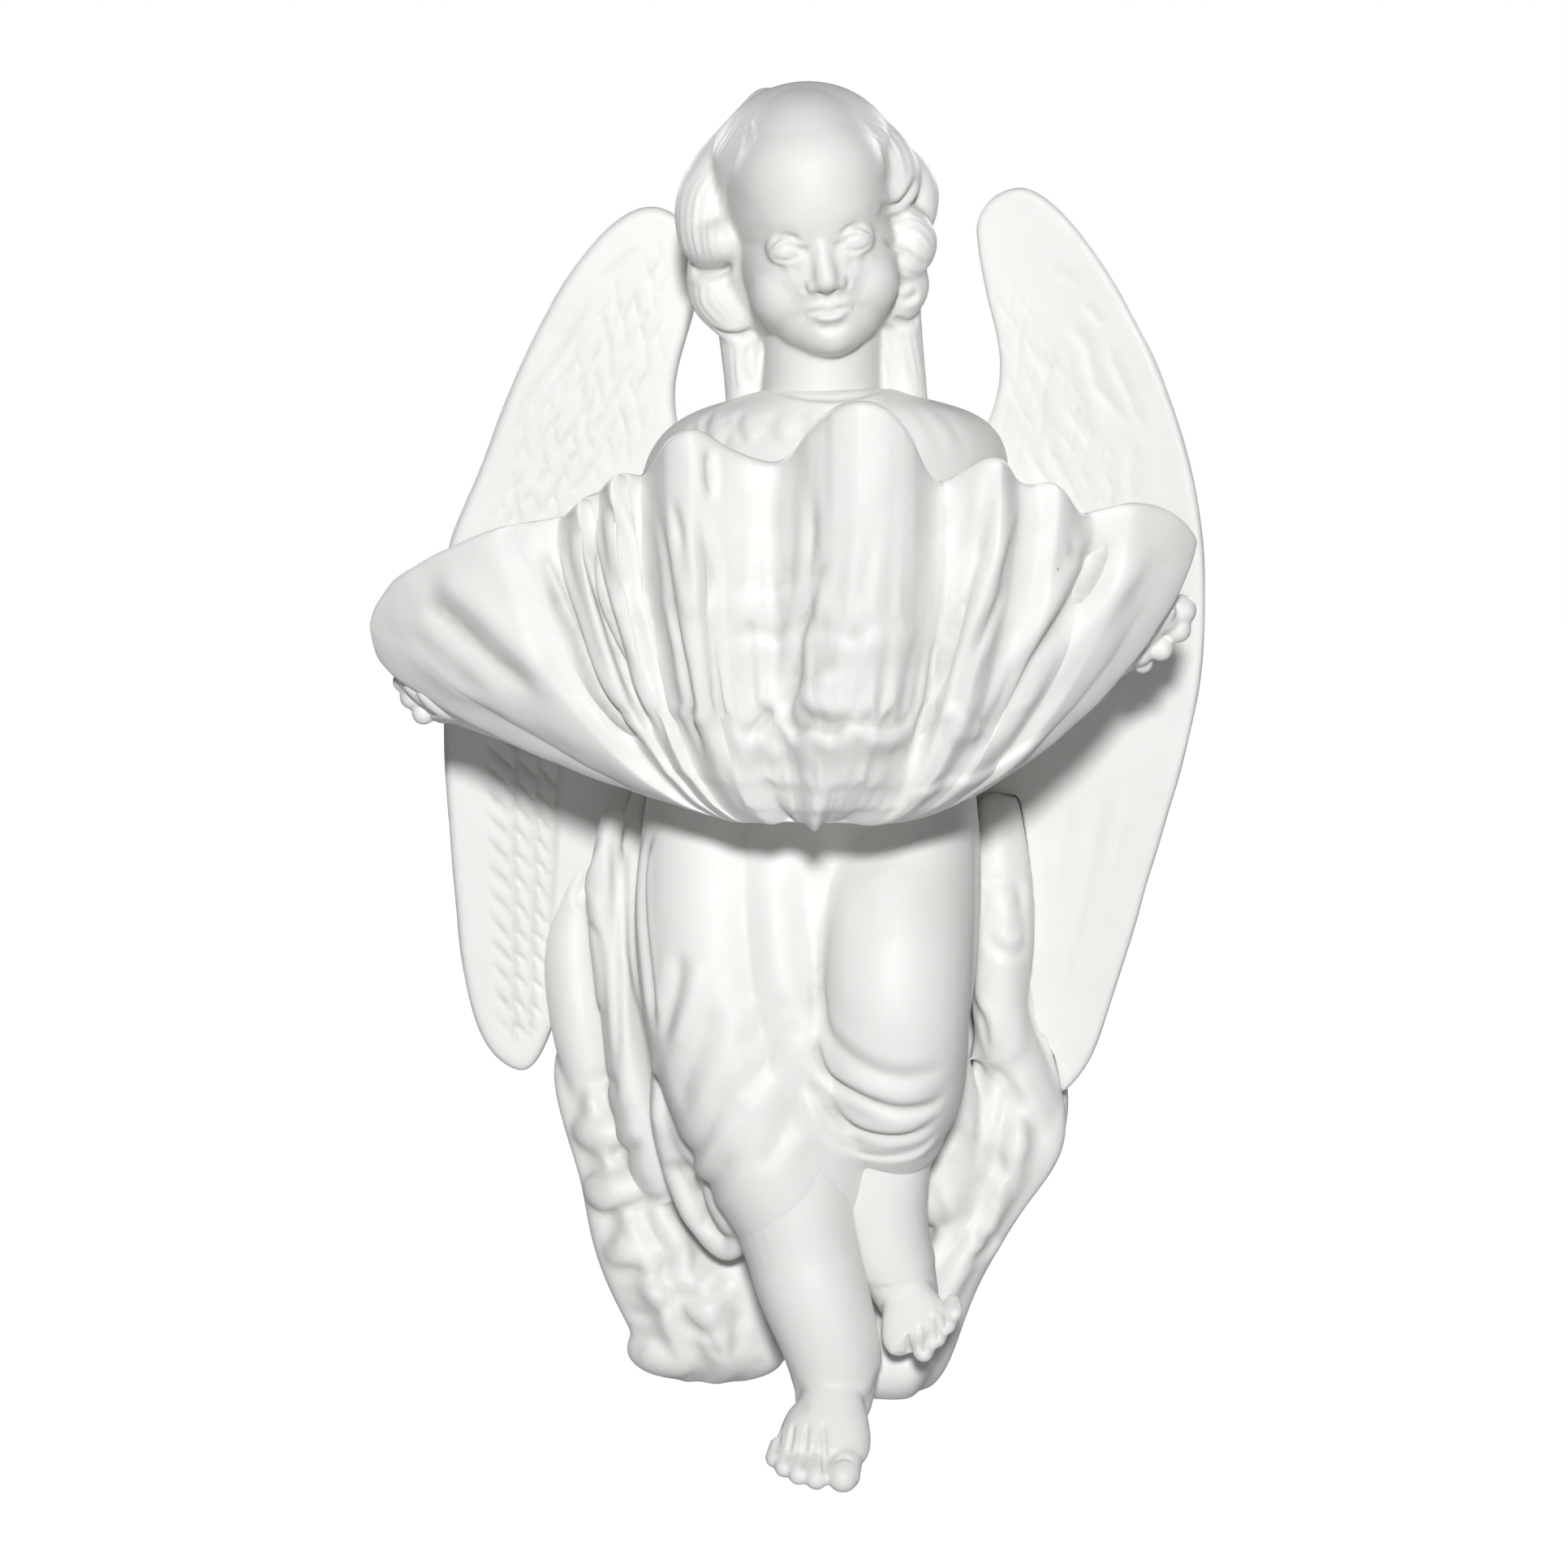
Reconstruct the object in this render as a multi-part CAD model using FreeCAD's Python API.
"""Wall-hung holy water stoup: a winged child angel in unglazed porcelain who holds a folded
scallop shell as the basin.

The stoup is made as a porcelain maker makes it: each node is one moulded casting, and the
castings are luted together with slip before firing. Nothing on it moves.

Row frame, in millimetres: +Z up, +Y into the wall, the angel looks along -Y. The origin is the
mouth of the hanging hole, in the flat back that lies on the wall. Left and right are the
angel's own, so left is +X.

Every station and outline point below is laid out on a figure as tall as LAYOUT_HEIGHT, and
unit turns it into real size. The shell's breadth, reach and depth, walls, holes and clearances
are real sizes in their own right, and the arms reach out to whatever breadth the shell has.
"""

import FreeCAD
import Part
import math
import os
from FreeCAD import Vector

# ---- driving dimensions ----
LAYOUT_HEIGHT = 313.0
figure_height = 313.0  # lowest toe to crown of the hair
casting_wall = 4.5  # wall of the hollow torso and gown
plate_thickness = 10.0  # back plate, wall side to front side
hang_hole_radius = 4.0  # takes a wall hook or a nail head
vent_radius = 7.0  # lets steam out of the hollow gown in the kiln
wing_thickness = 6.5
wing_forward = 7.0  # how far a wing's outer edge stands in front of its root
shell_half_width = 91.0
shell_wall = 3.6
shell_front_reach = 66.0  # from the shell's seat on the belly to its front lip
shell_depth = 79.0  # hanging-hole height down to the underside of the basin
fold_share = 1.0  # 1 gives the shell its full folds, 0 a plain bowl
seat_gap = 0.2  # slip between castings that meet on a curve

unit = figure_height / LAYOUT_HEIGHT
front_of_plate = -plate_thickness


# ---- shared shapes ----
def spline_wire(points):
    """Closed smooth wire through the points."""
    curve = Part.BSplineCurve()
    curve.interpolate(points, PeriodicFlag=True)
    return Part.Wire([curve.toShape()])


def signed_power(value, power):
    return math.copysign(abs(value) ** power, value)


def oval(z, x_low, x_high, y_front, y_back, lobes=(), squareness=2.2, count=24):
    """Level oval section. Each lobe is (bearing, height, width): bearing in degrees from
    straight ahead towards +X, height outwards in layout units, width in degrees."""
    middle = Vector((x_low + x_high) / 2, (y_front + y_back) / 2, z)
    half_x, half_y = (x_high - x_low) / 2, (y_back - y_front) / 2
    power = 2.0 / squareness
    points = []
    for i in range(count):
        angle = 2 * math.pi * i / count
        out = Vector(
            half_x * signed_power(math.sin(angle), power),
            -half_y * signed_power(math.cos(angle), power),
            0,
        )
        bearing = math.degrees(math.atan2(out.x, -out.y))
        swell = 0.0
        for centre, height, width in lobes:
            away = (bearing - centre + 180) % 360 - 180
            swell += height * math.exp(-((away / width) ** 2))
        points.append((middle + out * (1 + swell / out.Length)) * unit)
    return spline_wire(points)


def loft(wires):
    return Part.makeLoft(wires, True, False)


def limb(stations, side, ball_start=False, ball_end=False, count=10):
    """Loft along stations (x, y, z, half width, half depth), each section square to the path.
    side is the direction that the widths lie along. A ball rounds an end off."""
    centres = [Vector(*s[:3]) * unit for s in stations]
    sizes = [(s[3] * unit, s[4] * unit) for s in stations]
    last = len(centres) - 1
    wires = []
    for i, (centre, (half_width, half_depth)) in enumerate(zip(centres, sizes)):
        heading = (centres[min(i + 1, last)] - centres[max(i - 1, 0)]).normalize()
        deep = heading.cross(side).normalize()
        wide = deep.cross(heading).normalize()
        points = []
        for step in range(count):
            angle = 2 * math.pi * step / count
            points.append(
                centre + wide * (half_width * math.cos(angle)) + deep * (half_depth * math.sin(angle))
            )
        wires.append(spline_wire(points))
    shape = loft(wires)
    inside = 0.96  # a ball stays this much inside the loft, so that it meets the flat end only
    for wanted, end in ((ball_start, 0), (ball_end, last)):
        if wanted:
            shape = shape.fuse(Part.makeSphere(min(sizes[end]) * inside, centres[end]))
    return shape


def in_front_of(shape, y):
    """The part of shape on the room side of the level plane at y."""
    room = 1000.0
    box = Part.makeBox(2 * room, room, 2 * room, Vector(-room, y - room, -room))
    return shape.common(box)


def save(name, shape):
    os.makedirs("parts", exist_ok=True)
    shape.exportStep(os.path.join("parts", name + ".step"))
    print(name, "valid", shape.isValid(), "solids", len(shape.Solids), "cm3", round(shape.Volume / 1000, 2))


# ---- back plate ----
PLATE_OUTLINE = [  # x, z round the edge: shoulders, then the mantle's hem and back up
    (0, 15), (-15, 12), (-29, 3), (-36, -14), (-38, -48), (-45, -75), (-55, -100), (-61, -125), (-62, -146),
    (-58, -162), (-54, -178), (-49, -196), (-42, -212), (-30, -222), (-18, -217), (-4, -219), (12, -223),
    (25, -217), (33, -204), (42, -192), (50, -178), (59, -162), (59, -147), (55, -122), (51, -98),
    (45, -73),
    (38, -48), (36, -14), (30, 4), (16, 12),
]
PLATE_EDGE_ROUND = 3.0
VENT_HEIGHT = -120.0
HOLE_OVERRUN = 5.0  # a hole's cutter passes both faces by this much


def hole_along_y(radius, x, z):
    start = Vector(x, front_of_plate - HOLE_OVERRUN, z)
    return Part.makeCylinder(radius, plate_thickness + 2 * HOLE_OVERRUN, start, Vector(0, 1, 0))


def back_plate():
    wire = spline_wire([Vector(x, 0, z) * unit for x, z in PLATE_OUTLINE])
    plate = Part.Face(wire).extrude(Vector(0, front_of_plate, 0))
    front_edges = [e for e in plate.Edges if abs(e.BoundBox.YMax - front_of_plate) < 0.01]
    plate = plate.makeFillet(min(PLATE_EDGE_ROUND, 0.4 * plate_thickness), front_edges)
    plate = plate.cut(hole_along_y(hang_hole_radius, 0, 0))
    return plate.cut(hole_along_y(vent_radius, 0, VENT_HEIGHT * unit))


# ---- torso and gown, both hollow and open towards the plate ----
WAIST = -76.0  # the joint between torso and gown
TORSO = [  # z, x low, x high, y front, y back
    (14.5, -9, 21, -58, -30),
    (11, -20, 33, -62, -18),
    (4, -33, 44, -64.5, -7),
    (-8, -38, 46, -65, -5),
    (-26, -37.5, 43, -64, -5),
    (-50, -35.5, 39.5, -61, -5),
    (WAIST, -36, 39, -62, -5),
]
GOWN = [
    (WAIST, -36, 39, -62, -5),
    (-90, -38, 40, -61, -5),
    (-110, -38, 40, -61, -5),
    (-130, -36, 38, -60, -5),
    (-150, -31, 34, -56, -5),
    (-168, -25, 29, -50, -5),
]
SHOULDER_WALL = 0.35  # the hollow stops this share of a wall below the second section
FLOOR_WALL = 1.5  # and this many walls above the lowest one


def hollow(sections, closed_low, closed_high):
    """Outer loft less an inner one that is smaller by casting_wall, cut off at the plate.
    A closed end keeps a floor of casting_wall, and an open one lets the hollow run on."""
    share = casting_wall / unit
    inner = []
    for z, x_low, x_high, y_front, y_back in sections:
        inner.append([z, x_low + share, x_high - share, y_front + share, y_back])
    if closed_high:
        inner = inner[1:]
        inner[0][0] = sections[1][0] - share * SHOULDER_WALL
    if closed_low:
        inner = inner[:-1]
        inner[-1][0] = sections[-1][0] + share * FLOOR_WALL
    outer_solid = filled(sections)
    inner_solid = loft([oval(*s) for s in inner])
    return in_front_of(outer_solid.cut(inner_solid), front_of_plate)


def filled(sections):
    return loft([oval(*s) for s in sections])


# Gown over the legs: x, y, z, half width, half depth down the middle of each leg.
LEG_DRAPES = {
    "right_leg_drape": [
        (-19, -42, -78, 17, 16), (-19, -47, -97, 19.5, 18), (-18, -52, -118, 19, 18),
        (-14.5, -55, -138, 18, 17),
        (-8, -56, -156, 16.5, 15), (-2, -57, -172, 14.5, 13.5),
    ],
    "left_knee_drape": [
        (21, -36, -78, 16, 15), (24, -46, -96, 17.5, 17), (25, -58, -111, 17, 17), (25, -62, -124, 16, 16),
        (25, -59, -138, 15.5, 15), (23.3, -54, -149, 13.2, 13.6), (21.3, -52, -158, 11.2, 11.8),
    ],
}

# Crests of the folds that stand out on that cloth: x, y, z, radius. On the right leg they run
# down and out from between the thighs, and under the left knee they hang in swags to the hem.
LEG_FOLDS = {
    "right_leg_drape": [
        [(-8, -69.5, -117, 2.2), (-13, -69.8, -125, 2.4), (-16.3, -70.6, -134, 2.6),
         (-21, -69, -143.6, 2.4),
         (-24.5, -63.4, -154, 2)],
        [(-1.5, -65, -134.7, 2), (-5.6, -69.2, -142.1, 2.4), (-8.9, -70.2, -148.9, 2.4),
         (-11.5, -69.4, -155, 2)],
        [(-12, -70.2, -147, 2), (-16.4, -69, -152.4, 2.4), (-20, -65.4, -158.6, 2.2),
         (-22.5, -60.5, -165, 1.8)],
    ],
    "left_knee_drape": [
        [(8, -62.5, -138.5, 2), (12, -68, -140.5, 2.2), (17.2, -70.8, -141.9, 2.4),
         (25.2, -72.4, -142.7, 2.4),
         (31.9, -71, -141.2, 2.2), (36.3, -68, -138.6, 2)],
        [(8, -58.5, -146.5, 2), (12, -63, -149, 2.4), (16.8, -66.2, -150, 2.6), (25, -68.2, -150.3, 2.6),
         (31.2, -67, -148.3, 2.4), (35.8, -64.5, -144, 2)],
    ],
}
FOLD_SIDES = {"right_leg_drape": Vector(1, 0, 0), "left_knee_drape": Vector(0, 0, 1)}


def leg_cloth(name):
    """The cloth over one leg, with its folds fused on."""
    cloth = limb(LEG_DRAPES[name], Vector(1, 0, 0), count=14)
    for crest in LEG_FOLDS[name]:
        stations = [(*station, station[-1]) for station in crest]
        cloth = cloth.fuse(limb(stations, FOLD_SIDES[name], ball_start=True, ball_end=True, count=8))
    return cloth


SIDE_FOLDS = {  # z, x low, x high, y front
    "right_side_folds": [
        (-72, -41, -36.5, -24), (-90, -46, -37.5, -31), (-108, -50, -38.5, -36), (-126, -49, -38, -38),
        (-145, -47, -34.5, -39), (-163, -43, -29, -38), (-176, -38, -27, -33),
    ],
    "left_side_folds": [
        (-80, 41, 48, -22), (-96, 41, 51, -27), (-114, 40.5, 52, -29), (-130, 39, 50, -28),
        (-142, 37, 46, -24),
    ],
}


MANTLE_FLUTES = [-62, -22, 18, 58]  # bearings of the flutes, degrees from straight ahead
SIDE_FLUTES = [-30, 30]
FLUTE_HEIGHT = 2.2
FLUTE_WIDTH = 12.0  # degrees
FLUTE_SHARE = 0.12  # a flute is never higher than this share of the cloth's breadth


def fall(stations, flutes=()):
    """Drapery that lies against the plate: a loft of level sections with a flat back and
    rounded flutes down its front."""
    tucked = front_of_plate / unit + 6.0  # the ovals run past the plate's front and are cut off there
    sections = []
    for z, low, high, front in stations:
        height = min(FLUTE_HEIGHT, FLUTE_SHARE * (high - low))
        lobes = [(bearing, height, FLUTE_WIDTH) for bearing in flutes]
        sections.append(oval(z, low, high, front, tucked, lobes))
    return in_front_of(loft(sections), front_of_plate)


MANTLE_FALLS = {  # z, x low, x high, y front
    "right_mantle_fall": [
        (-128, -60, -46, -16), (-142, -61, -38, -20), (-158, -59, -32, -27), (-172, -55, -26, -28),
        (-183, -53, -16, -31), (-197, -48, -9, -34), (-210, -42, -7, -32), (-221, -36, -16, -21),
    ],
    "left_mantle_fall": [
        (-118, 42, 53, -16), (-133, 40, 55, -19), (-148, 37, 58, -24), (-162, 32, 59, -28),
        (-174, 30, 52, -29),
        (-186, 25, 44, -31), (-199, 14, 37, -40), (-209, 9, 33, -46), (-219, 10, 27, -40),
    ],
}


# ---- legs and feet ----
def toe(root, tip, radius):
    middle = [(a + b) / 2 for a, b in zip(root, tip)]
    stations = [(*root, radius * 0.9, radius * 0.9), (*middle, radius * 0.92, radius * 0.9),
                (*tip, radius, radius * 0.92)]
    return limb(stations, Vector(1, 0, 0), ball_end=True, count=8)


def foot(heel, ball, half_width, roll, toes):
    """Foot that points down and forward, with its toes fused on. roll lifts the outer side by
    that share of the way out. toes is a list of (sideways, forward, radius) from the ball, big
    toe first."""
    heel, ball = Vector(*heel), Vector(*ball)
    along = ball - heel
    arch = heel + along * 0.5 + Vector(0, -1.0, 1.5)
    tread = ball + along * 0.16
    body = limb(
        [
            (*heel, half_width * 0.62, half_width * 0.62),
            (*arch, half_width * 0.8, half_width * 0.66),
            (*ball, half_width, half_width * 0.48),
            (*tread, half_width * 0.84, half_width * 0.36),
        ],
        Vector(1, 0, roll),
        ball_start=True,
        count=12,
    )
    along.normalize()
    for sideways, forward, radius in toes:
        root = ball + Vector(sideways, 0, roll * sideways) + along * (forward - 5.0)
        tip = root + along * 5.0
        body = body.fuse(toe(tuple(root), tuple(tip), radius))
    return body


LEGS = {
    "right_leg": dict(
        shin=[(-2, -57, -162, 12, 11.5), (0.5, -57.5, -176, 12.6, 12.2), (4.2, -59, -189, 12.4, 12),
              (7.4, -59, -199, 11.4, 11.2), (9.4, -57, -208, 10.6, 10.2)],
        heel=(10, -55, -211), ball=(7.6, -73, -222), half_width=10.3, roll=0.0,
        toes=[(6.2, 8.2, 3.9), (0.4, 8.8, 2.9), (-3.8, 7.8, 2.6), (-7.4, 6.0, 2.4), (-10.2, 3.4, 2.2)],
    ),
    "left_leg": dict(
        shin=[(21.5, -51, -152, 10.8, 10.8), (19.3, -50, -165, 9.6, 9.8), (20.2, -49, -176, 9.2, 9.5),
              (22.4, -47, -186, 9, 9.2)],
        heel=(24, -44, -191), ball=(27.5, -58, -198.5), half_width=8.2, roll=0.7,
        toes=[(-4.2, 7.6, 3.4), (0.6, 7.4, 2.6), (3.9, 6.0, 2.3), (6.6, 4.2, 2.1), (8.6, 2.0, 1.9)],
    ),
}


def leg(shin, **sizes):
    bare_shin = limb(shin, Vector(1, 0, 0), count=12)
    return bare_shin.fuse(foot(**sizes))


# ---- wings ----
WING_OUTLINES = {  # x, z round the edge
    "right_wing": [
        (-32, 54), (-40, 56.5), (-47, 53), (-56, 43), (-65.5, 27), (-73, 10), (-80, -8), (-85.5, -22),
        (-87.5, -45),
        (-87, -75), (-84.5, -110), (-80, -136), (-74, -145), (-69, -147), (-64.5, -142), (-58, -118),
        (-46, -95),
        (-34, -70), (-29, -40), (-29, -8), (-33, 12), (-31, 24), (-27.5, 36),
    ],
    "left_wing": [
        (37.5, 50), (41, 58), (48, 60.5), (55, 57), (64, 47), (73.5, 32), (81.5, 15), (87, -2), (90, -18),
        (91, -36),
        (88.5, -62), (82.5, -85), (75, -112), (68, -135), (62, -147), (58, -150), (54.5, -145), (50, -122),
        (42, -98),
        (32, -70), (28, -40), (29, -12), (39, 4), (43, 16), (40.5, 34),
    ],
}
WING_ROOT, WING_TIP = 28.0, 91.0  # where the wing's outward curve starts and ends, out from the middle
WING_EDGE_ROUND = 2.0
WING_ROUND_SHARE = 0.35  # of the thickness, so that two rounds never meet
WING_TRACK_POINTS = 7


def wing(outline):
    """A dished sheet cut to the wing's outline, with both faces rounded off at the edge."""
    root_x = WING_ROOT * unit
    span = WING_TIP * unit - root_x
    side = math.copysign(1.0, outline[0][0])
    track = []
    for i in range(WING_TRACK_POINTS):
        x = root_x * 0.8 + (span * 1.3) * i / (WING_TRACK_POINTS - 1)
        reach = max(0.0, (x - root_x) / span)
        track.append(Vector(side * x, front_of_plate - seat_gap - wing_forward * reach**1.5, -200 * unit))
    rear = Part.BSplineCurve()
    rear.interpolate(track)
    forward = Vector(0, -wing_thickness, 0)
    sheet = rear.toShape().extrude(forward).extrude(Vector(0, 0, 300 * unit))
    rim = spline_wire([Vector(x, 0, z) * unit for x, z in outline])
    blank = Part.Face(rim).extrude(Vector(0, -60, 0) * unit)
    sheet = sheet.common(blank)
    rims = [e for e in sheet.Edges if e.Length > 250 * unit]
    for ease in (1.0, 0.7, 0.5, 0.35):
        try:
            rounded = sheet.makeFillet(min(WING_EDGE_ROUND, WING_ROUND_SHARE * wing_thickness) * ease, rims)
        except Part.OCCError:
            continue
        if rounded.isValid():
            return rounded
    return sheet


# ---- shell basin ----
# The rim as (x share of the half width, forward share of the front reach, z): crests and
# valleys of the folds in turn, from the right tip round the front to the left tip, then back
# along the belly.
RIM = [
    (-1.02, 0.39, -38), (-0.94, 0.48, -28), (-0.66, 0.64, -15.5), (-0.52, 0.57, -13), (-0.46, 0.69, -9),
    (-0.425, 0.64, -7.5), (-0.375, 0.77, -4.3), (-0.335, 0.68, -6), (-0.17, 0.91, 6), (-0.015, 0.76, -1),
    (0.07, 0.92, 4), (0.215, 1.0, 12.5), (0.34, 0.86, 1), (0.40, 0.73, -5), (0.53, 0.81, -0.5),
    (0.595, 0.66, -7),
    (0.66, 0.67, -6), (0.73, 0.52, -13), (0.83, 0.51, -10.5), (0.93, 0.42, -12), (0.985, 0.32, -17.5),
    (0.93, 0.20, -25), (0.78, 0.12, -36), (0.50, 0.05, -48), (0.0, 0.02, -55), (-0.45, 0.06, -56),
    (-0.76, 0.20, -56.5), (-0.93, 0.29, -48),
]
SHELL_SEAT_Y = -59.0  # the belly, where the back of the rim is luted
UMBO = (0.08, 0.42)  # the lowest point, in the same shares as the rim
LEVELS = [0.08, 0.22, 0.4, 0.58, 0.75, 0.9, 1.0]
RIM_STEPS = 3  # control points for each stretch between a crest and a valley
BOWL_SIDES, BOWL_LEAN, BOWL_FRONT = 1.4, 0.1, 1.5  # how full the bowl is to the sides and in front
INNER_FOLD_SHARE = 0.9  # the inside's folds are this much shallower


def shell_plan(share_x, share_y, z):
    y = SHELL_SEAT_Y * unit - shell_front_reach * share_y
    return Vector(shell_half_width * share_x, y, z * unit)


def rim_curve():
    """The folded rim as evenly stepped points, and the same rim with its folds averaged out."""
    corners = [shell_plan(*r) for r in RIM]
    folded = Part.BSplineCurve()
    folded.interpolate(corners, PeriodicFlag=True)
    plain_corners = corners
    for _ in range(3):
        count = len(plain_corners)
        plain_corners = [
            (plain_corners[i - 1] + plain_corners[i] * 2 + plain_corners[(i + 1) % count]) * 0.25
            for i in range(count)
        ]
    plain = Part.BSplineCurve()
    plain.interpolate(plain_corners, PeriodicFlag=True)
    total = len(RIM) * RIM_STEPS
    pairs = []
    for i in range(total):
        share = i / total
        f = folded.value(folded.FirstParameter + share * (folded.LastParameter - folded.FirstParameter))
        p = plain.value(plain.FirstParameter + share * (plain.LastParameter - plain.FirstParameter))
        pairs.append((f, p))
    return pairs


def shell_point(folded, plain, level, inset):
    """Point of the shell at a share of the way from the umbo to the rim. inset moves it into
    the basin, which gives the inner skin."""
    umbo = shell_plan(*UMBO, 0)
    umbo.z = -shell_depth + inset
    fold = fold_share * level**0.4
    if inset:
        fold *= INNER_FOLD_SHARE
    rim = plain * (1 - fold) + folded * fold
    flat = Vector(rim.x - umbo.x, rim.y - umbo.y, 0)
    reach = flat.Length - inset * 1.15
    flat.normalize()
    frontness = max(0.0, -flat.y)
    # 1 is a straight flare, 2 a quarter ellipse, more than 2 turns under more sharply
    bowl = BOWL_SIDES + BOWL_LEAN * flat.x + BOWL_FRONT * frontness**0.7
    turn = level * math.pi / 2
    out = reach * math.sin(turn) ** (2 / bowl)
    up = 1 - math.cos(turn) ** (2 / bowl)
    return Vector(umbo.x, umbo.y, 0) + flat * out + Vector(0, 0, umbo.z + (rim.z - umbo.z) * up)


def shell_skin(pairs, inset):
    """Periodic spline surface from the flat under the umbo up to the rim."""
    columns = []
    for folded, plain in pairs:
        column = [shell_point(folded, plain, level, inset) for level in LEVELS]
        column[0].z = -shell_depth + inset
        columns.append(column)
    around = len(columns)
    up = len(LEVELS)
    skin = Part.BSplineSurface()
    skin.buildFromPolesMultsKnots(
        columns,
        [1] * (around + 1),
        [4] + [1] * (up - 4) + [4],
        list(range(around + 1)),
        list(range(up - 2)),
        True,
        False,
        3,
        3,
    )
    return skin.toShape()


def level_edge(face, highest):
    edges = [e for e in face.Edges if e.isClosed()]
    edges.sort(key=lambda e: e.BoundBox.ZMax)
    return edges[-1] if highest else edges[0]


def shell_basin():
    pairs = rim_curve()
    outer, inner = shell_skin(pairs, 0.0), shell_skin(pairs, shell_wall)
    lip = Part.makeRuledSurface(level_edge(outer, True), level_edge(inner, True))
    floors = [Part.Face(Part.Wire([level_edge(skin, False)])) for skin in (outer, inner)]
    skins = Part.makeCompound([outer, inner, lip] + floors)
    skins.sewShape()
    solid = Part.makeSolid(skins.Shells[0])
    if solid.Volume < 0:
        solid.reverse()
    return solid


# ---- arms and hands ----
ARM_ROOT = 28.0  # out from the middle: from here on the arms stretch with the shell
ARM_SHELL = 91.0  # half width of the shell that the arms below are laid out for


def to_shell(station):
    """An arm's station, moved out or in so that the arm ends where the shell does."""
    x = station[0]
    stretch = (shell_half_width / unit - ARM_ROOT) / (ARM_SHELL - ARM_ROOT)
    return (math.copysign(ARM_ROOT + (abs(x) - ARM_ROOT) * stretch, x), *station[1:])


SLEEVES = {  # x, y, z, half width, half depth; wide and open at the wrist
    "right_sleeve": [(-31, -32, -10, 9, 9.5), (-41, -35, -28, 10, 10.5), (-48, -41, -47, 10.5, 11),
                     (-54, -48, -61, 10, 10)],
    "left_sleeve": [(36, -32, -8, 9, 9.5), (47, -35, -24, 10, 10.5), (55, -41, -38, 10.5, 11),
                    (61, -48, -48, 10, 10)],
}
HANDS = {
    "right_hand": dict(
        forearm=[(-52, -47, -56, 6, 6), (-61, -55, -60.5, 5.5, 5.5), (-69, -62, -58.5, 4.8, 4.4)],
        palm=[(-74.5, -67, -56.5, 5.6, 3.6), (-80, -71.5, -54.5, 7, 3.4)], row=Vector(0.62, -0.72, -0.3),
    ),
    "left_hand": dict(
        forearm=[(59, -47, -44, 6, 6), (66, -53, -46, 5.5, 5.5), (71.5, -59, -44.5, 4.8, 4.4)],
        palm=[(75.5, -64, -42, 5.6, 3.6), (80, -68, -38.5, 7, 3.4)], row=Vector(-0.62, -0.72, -0.3),
    ),
}
FINGER_RADIUS = 2.0
FINGER_LENGTHS = [8.0, 9.5, 9.0, 7.0]  # from the knuckle, first finger to little finger
FINGER_RISE = 2.5  # fingers and thumb curl up to the shell


def hand(forearm, palm, row):
    """Forearm and palm in one sweep, with four fingers side by side and a thumb."""
    row = Vector(row).normalize()
    forearm, palm = [to_shell(s) for s in forearm], [to_shell(s) for s in palm]
    start, end = Vector(*palm[0][:3]), Vector(*palm[1][:3])
    reach = (end - start).normalize()
    width = palm[1][3]
    body = limb(forearm + palm, row, count=12)
    for i, length in enumerate(FINGER_LENGTHS):
        root = end + row * (width * (0.75 - 0.5 * i)) - reach * 3
        tip = root + reach * length + Vector(0, 0, FINGER_RISE)
        middle = (root + tip) * 0.5 + Vector(0, 0, -0.8)
        stations = []
        for point, share in ((root, 1.0), (middle, 0.98), (tip, 0.84)):
            stations.append((*point, FINGER_RADIUS * share, FINGER_RADIUS * share))
        body = body.fuse(limb(stations, row, ball_end=True, count=8))
    root = start + row * (width * 0.6) + reach
    tip = root + row * 4.5 + reach * 4.0 + Vector(0, 0, FINGER_RISE)
    return body.fuse(limb([(*root, 2.3, 2.3), (*tip, 1.9, 1.9)], row.cross(reach), ball_end=True, count=8))


# ---- head and hair ----
HEAD_CENTRE = (3.0, -47.0, 50.0)
HEAD_NOD, HEAD_LEAN, HEAD_TURN = 10.0, -8.0, 8.0  # degrees
HEAD = [  # z, x low, x high, y front, y back, in the head's own upright frame
    (-27, -6, 6, -22, -8),
    (-24.5, -11.5, 11.5, -24, 0),
    (-17, -16, 16, -24.5, 10),
    (-8, -18, 18, -24.5, 17),
    (4, -19, 19, -24, 21),
    (16, -19, 19, -25, 22),
    (25, -16, 16, -20.5, 18),
    (31, -9, 9, -12, 9),
]
NECK = [(4, -44, 8, 15, 14), (4.5, -44.5, 18, 13.6, 13), (4.5, -45.5, 26, 13.3, 13), (5, -46, 34, 13, 13)]
NOSE = [(-24.0, 7, 1.6, 1.2), (-26.0, 0, 2.0, 2.2), (-27.0, -4.5, 2.9, 3.0), (-25.2, -7.2, 2.6, 2.0)]
HAIR = [  # as HEAD: the mass of the hair from the nape to the crown
    (-39, -17, 17, 2, 16),
    (-30, -22, 22, -4, 20),
    (-18, -26, 26.5, -10, 24),
    (-6, -27, 28.5, -14, 27),
    (8, -26.5, 28, -20, 28),
    (20, -23, 25, -26, 26),
    (29, -15.5, 17, -20, 18),
    (33, -7, 8, -10, 9),
]
FACE_OPENING = dict(low=-52.0, high=35.0, half_width=18.0, depth=-6.0)
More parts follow.
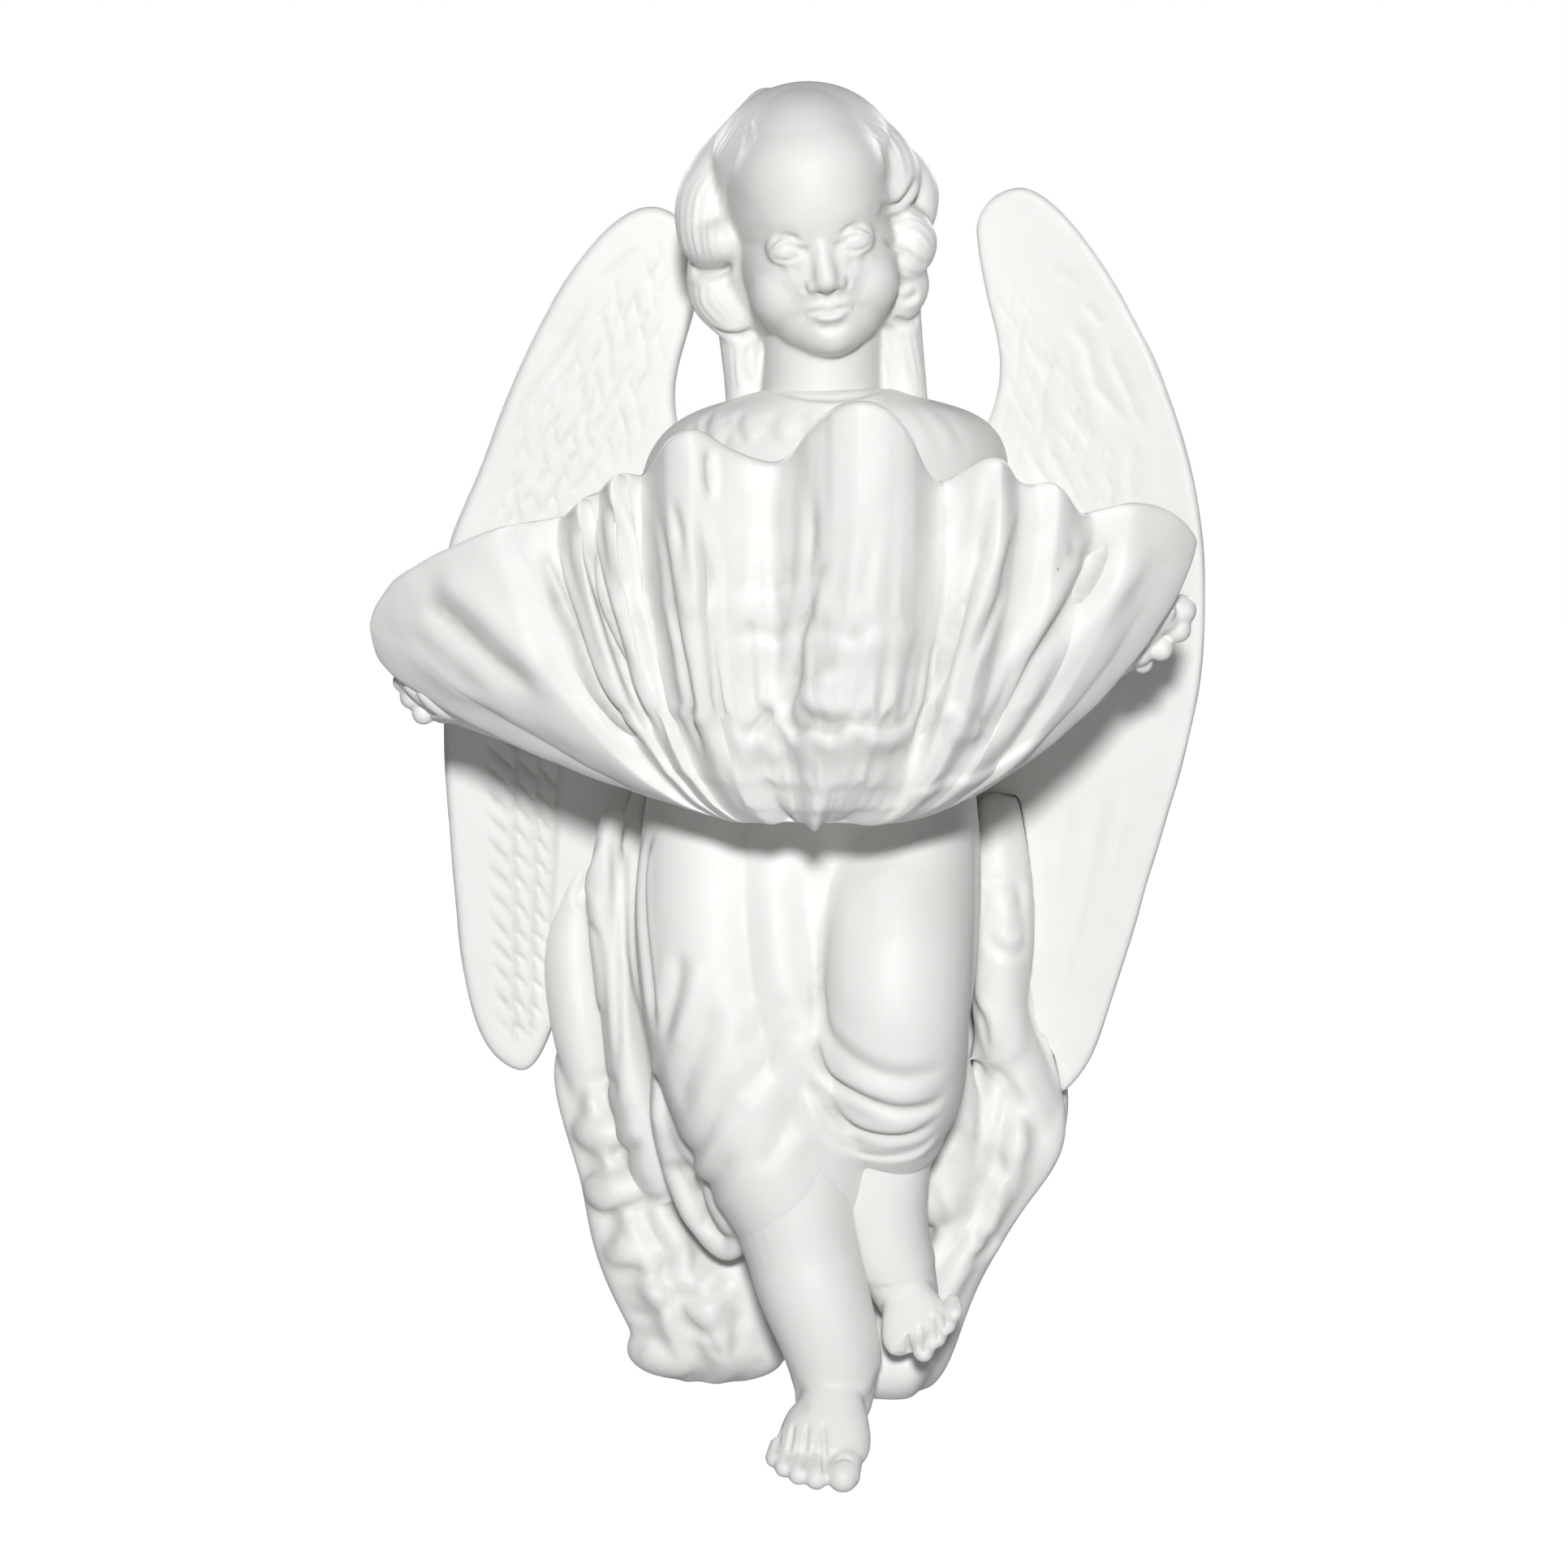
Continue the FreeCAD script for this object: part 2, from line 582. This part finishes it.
HAIR_LOCKS = {  # x, y, z, half width, half depth of each lock
    "right_hair_locks": [
        [(-19, -48, 66, 5, 5), (-25, -50, 57, 5.6, 8), (-25, -53, 48, 6, 7.5), (-20, -57, 41, 4.6, 4.6)],
        [(-20, -45, 46, 5.5, 5.5), (-21, -46, 38, 6.4, 7), (-18, -47, 31, 6, 6.5),
         (-15, -48, 26, 4.6, 4.6)],
        [(-14, -42, 32, 5, 5), (-14.5, -42, 24, 5.6, 5.5), (-13.5, -41, 17, 5.4, 5.5),
         (-12, -40, 10, 4.6, 4.6)],
    ],
    "left_hair_locks": [
        [(20, -46, 72, 5, 5), (27, -48, 64, 6.2, 8), (28, -50, 55, 6.2, 7.5), (23, -54, 48, 4.6, 4.6)],
        [(30, -43, 60, 4.6, 4.6), (31, -44, 50, 6, 7), (29, -46, 42, 6.2, 6.5), (25, -46, 35, 5, 5)],
        [(24, -42, 39, 5.2, 5.2), (24, -42, 30, 5.4, 5.5), (24.5, -41, 21, 5, 5.5),
         (25, -40, 11, 4.8, 4.8)],
    ],
}


def in_head_frame(shape):
    """Turns a shape made upright about the head's centre to the head's pose."""
    turned = shape.copy()
    origin = Vector(0, 0, 0)
    turned.rotate(origin, Vector(1, 0, 0), HEAD_NOD)
    turned.rotate(origin, Vector(0, 1, 0), HEAD_LEAN)
    turned.rotate(origin, Vector(0, 0, 1), HEAD_TURN)
    turned.translate(Vector(*HEAD_CENTRE) * unit)
    return turned


def skull():
    return in_head_frame(loft([oval(*section, count=16) for section in HEAD]))


def neck():
    return limb(NECK, Vector(1, 0, 0), count=12)


def head():
    nose = limb([(0, y, z, wide, deep) for y, z, wide, deep in NOSE], Vector(1, 0, 0),
    ball_end=True, count=8)
    return skull().fuse(in_head_frame(nose)).fuse(neck())


def hair_mass():
    return in_head_frame(loft([oval(*section, count=16) for section in HAIR]))


def hair_cap():
    """Hair swept back off a high forehead, with an arched opening left for the face."""
    low, high = FACE_OPENING["low"], FACE_OPENING["high"]
    middle, tall = (low + high) / 2, (high - low) / 2
    arch = [
        Vector(FACE_OPENING["half_width"] * math.sin(a),
        FACE_OPENING["depth"], middle + tall * math.cos(a)) * unit
        for a in [2 * math.pi * i / 12 for i in range(12)]
    ]
    opening = Part.Face(spline_wire(arch)).extrude(Vector(0, -60, 0) * unit)
    return hair_mass().cut(in_head_frame(opening))


def hair_locks(locks):
    """Ringlets that overlap down the side of the head, as one casting."""
    tresses = [limb(lock, Vector(1, 0, 0), ball_start=True, ball_end=True, count=8) for lock in locks]
    return tresses[0].fuse(tresses[1:])


def seated(shape, *seats):
    """The shape with whatever it is luted to taken out of it, slivers left behind."""
    for seat in seats:
        shape = shape.cut(seat)
    return max(shape.Solids, key=lambda solid: solid.Volume)


# ---- build ----
def main():
    torso_core, gown_core = filled(TORSO), filled(GOWN)
    save("back_plate", back_plate())
    save("torso", hollow(TORSO, closed_low=False, closed_high=True))
    save("gown", hollow(GOWN, closed_low=True, closed_high=False))

    body = [torso_core, gown_core]
    drapes, cloth = [], []
    for name in LEG_DRAPES:
        drape = seated(leg_cloth(name), *body, *drapes)
        drapes.append(drape)
        save(name, drape)
    body += drapes
    legs = []
    for name, sizes in LEGS.items():
        bare = seated(leg(**sizes), *body, *legs)
        legs.append(bare)
        save(name, bare)
    body += legs
    for name, stations in SIDE_FOLDS.items():
        folds = seated(fall(stations, SIDE_FLUTES), *body)
        cloth.append(folds)
        save(name, folds)
    for name, stations in MANTLE_FALLS.items():
        mantle = seated(fall(stations, MANTLE_FLUTES), *body, *cloth)
        cloth.append(mantle)
        save(name, mantle)
    for name, outline in WING_OUTLINES.items():
        save(name, seated(wing(outline), *body, *cloth))

    basin = seated(shell_basin(), torso_core)
    save("shell_basin", basin)
    sleeves = []
    for name, stations in SLEEVES.items():
        reaching = limb([to_shell(s) for s in stations], Vector(0, 1, 0), ball_start=True, count=12)
        sleeve = seated(reaching, torso_core, basin)
        sleeves.append(sleeve)
        save(name, sleeve)
    for name, sizes in HANDS.items():
        save(name, seated(hand(**sizes), *sleeves, basin))

    save("head", seated(head(), torso_core))
    save("hair_cap", seated(hair_cap(), skull(), neck(), torso_core))
    for name, locks in HAIR_LOCKS.items():
        save(name, seated(hair_locks(locks), hair_mass(), skull(), neck(), torso_core))


main()
